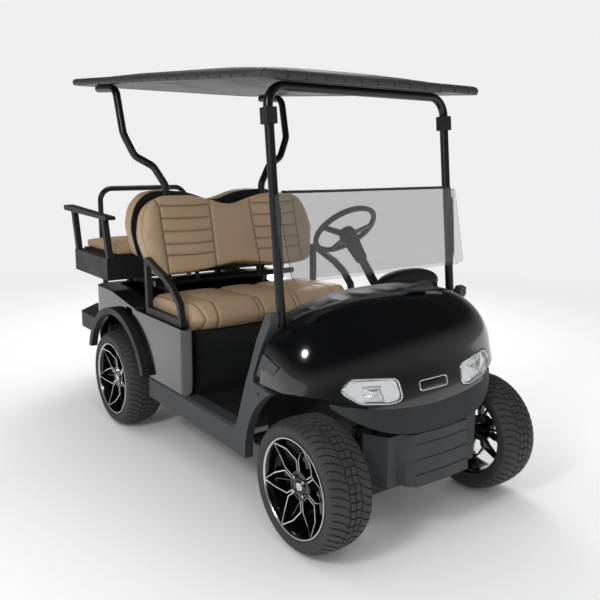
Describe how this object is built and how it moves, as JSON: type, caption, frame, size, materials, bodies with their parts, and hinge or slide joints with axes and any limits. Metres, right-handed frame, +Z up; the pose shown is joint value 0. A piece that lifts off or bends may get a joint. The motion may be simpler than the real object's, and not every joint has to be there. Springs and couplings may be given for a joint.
{
  "type": "golf cart",
  "caption": "Open golf cart with a roof, a folding windshield and a rear-facing bench; it rolls, steers and its seats tilt.",
  "frame": {"origin": "centre of the footprint, on the ground", "axes": "+Z up, +Y towards the rear, +X towards the driver side, so the cart faces -Y"},
  "size_m": [1.242, 2.8159, 1.9278],
  "materials": {
    "battery_case": "moulded case",
    "black_plastic": "fine grained black plastic",
    "black_roof": "satin black moulded roof",
    "black_steel": "matt black chassis paint",
    "black_tube": "satin black powder coat",
    "bright_steel": "plain steel",
    "cast_iron": "raw casting",
    "clear_lens": "clear moulded lens",
    "gloss_black": "deep gloss black body paint on moulded plastic",
    "grey_plastic": "grained charcoal plastic",
    "lamp_chrome": "bright metallised plastic",
    "liner_grey": "satin dark grey",
    "mat_rubber": "ribbed rubber",
    "rim_black": "gloss black with machined bright edges",
    "soft_black": "soft grip skin",
    "spring_steel": "black paint",
    "tan_vinyl": "grained tan vinyl with sewn panels",
    "tinted_pane": "lightly tinted clear plastic",
    "tyre_rubber": "rubber with moulded tread"
  },
  "bodies": {
    "cart_body": {"arch_liners": "black_plastic", "backrest_frame": "black_tube", "backrest_shells": "black_plastic", "battery_pack": "battery_case", "bumper": "grey_plastic", "chassis_frame": "black_steel", "cowl_trim": "grey_plastic", "dash": "black_plastic", "floor_mat": "mat_rubber", "floor_pan": "black_plastic", "footrest": "black_plastic", "front_apron": "grey_plastic", "front_backrest": "tan_vinyl", "front_cowl": "gloss_black", "front_frame": "black_tube", "front_guards": "black_plastic", "front_shocks": "spring_steel", "front_suspension": "black_steel", "grab_hoop": "black_tube", "headlamp_lenses": "clear_lens", "headlamps": "lamp_chrome", "hip_restraints": "soft_black", "leaf_springs": "spring_steel", "pedals": "bright_steel", "rear_armrests": "soft_black", "rear_axle": "cast_iron", "rear_backrest": "tan_vinyl", "rear_body": "gloss_black", "rear_flares": "black_plastic", "rear_seat_frame": "black_steel", "rear_struts": "black_tube", "rear_tray": "black_plastic", "rockers": "black_plastic", "roof": "black_roof", "roof_liner": "liner_grey", "seat_base": "black_plastic", "side_panels": "gloss_black", "steering_column": "black_steel", "windshield": "tinted_pane", "windshield_clips": "black_plastic"},
    "steering_wheel": {"steering_wheel": "soft_black"},
    "rack": {"steering_rack": "bright_steel"},
    "upright_left": {"knuckle_left": "cast_iron"},
    "upright_right": {"knuckle_right": "cast_iron"},
    "wheel_front_left": {"tyre_front_left": "tyre_rubber", "rim_front_left": "rim_black"},
    "wheel_front_right": {"tyre_front_right": "tyre_rubber", "rim_front_right": "rim_black"},
    "wheel_rear_left": {"tyre_rear_left": "tyre_rubber", "rim_rear_left": "rim_black"},
    "wheel_rear_right": {"tyre_rear_right": "tyre_rubber", "rim_rear_right": "rim_black"},
    "front_seat": {"seat_pan": "black_plastic", "front_seat_cushion": "tan_vinyl"},
    "rear_seat": {"rear_seat_pan": "black_plastic", "rear_seat_cushion": "tan_vinyl"}
  },
  "joints": [
    {"name": "steer_left", "type": "hinge", "parent": "cart_body", "child": "upright_left", "pos_m": [0.412, -1.143, 0.265], "axis": [0, 0, 1], "range_deg": [-25, 25]},
    {"name": "steer_right", "type": "hinge", "parent": "cart_body", "child": "upright_right", "pos_m": [-0.412, -1.143, 0.265], "axis": [0, 0, 1], "range_deg": [-25, 25]},
    {"name": "steering_wheel_turn", "type": "hinge", "parent": "cart_body", "child": "steering_wheel", "pos_m": [0.278, -0.396, 1.135], "axis": [0, 0.7071, 0.7071], "range_deg": [-300, 300]},
    {"name": "rack_slide", "type": "slide", "parent": "cart_body", "child": "rack", "axis": [1, 0, 0], "range_m": [-0.0405, 0.0405]},
    {"name": "front_left_spin", "type": "hinge", "parent": "upright_left", "child": "wheel_front_left", "pos_m": [0.5, -1.143, 0.265], "axis": [1, 0, 0], "continuous": true},
    {"name": "front_right_spin", "type": "hinge", "parent": "upright_right", "child": "wheel_front_right", "pos_m": [-0.5, -1.143, 0.265], "axis": [1, 0, 0], "continuous": true},
    {"name": "rear_left_spin", "type": "hinge", "parent": "cart_body", "child": "wheel_rear_left", "pos_m": [0.54, 0.526, 0.265], "axis": [1, 0, 0], "continuous": true},
    {"name": "rear_right_spin", "type": "hinge", "parent": "cart_body", "child": "wheel_rear_right", "pos_m": [-0.54, 0.526, 0.265], "axis": [1, 0, 0], "continuous": true},
    {"name": "front_seat_tilt", "type": "hinge", "parent": "cart_body", "child": "front_seat", "pos_m": [0, 0.257, 0.655], "axis": [-1, 0, 0], "range_deg": [0, 30]},
    {"name": "rear_seat_lift", "type": "hinge", "parent": "cart_body", "child": "rear_seat", "pos_m": [0, 0.708, 0.9123], "axis": [1, 0, 0], "range_deg": [0, 70]}
  ],
  "couplings": [
    {"joint": "steer_right", "follows": "steer_left", "ratio": 1},
    {"joint": "steering_wheel_turn", "follows": "steer_left", "ratio": 12},
    {"joint": "rack_slide", "follows": "steer_left", "m_per_rad": -0.0924}
  ]
}
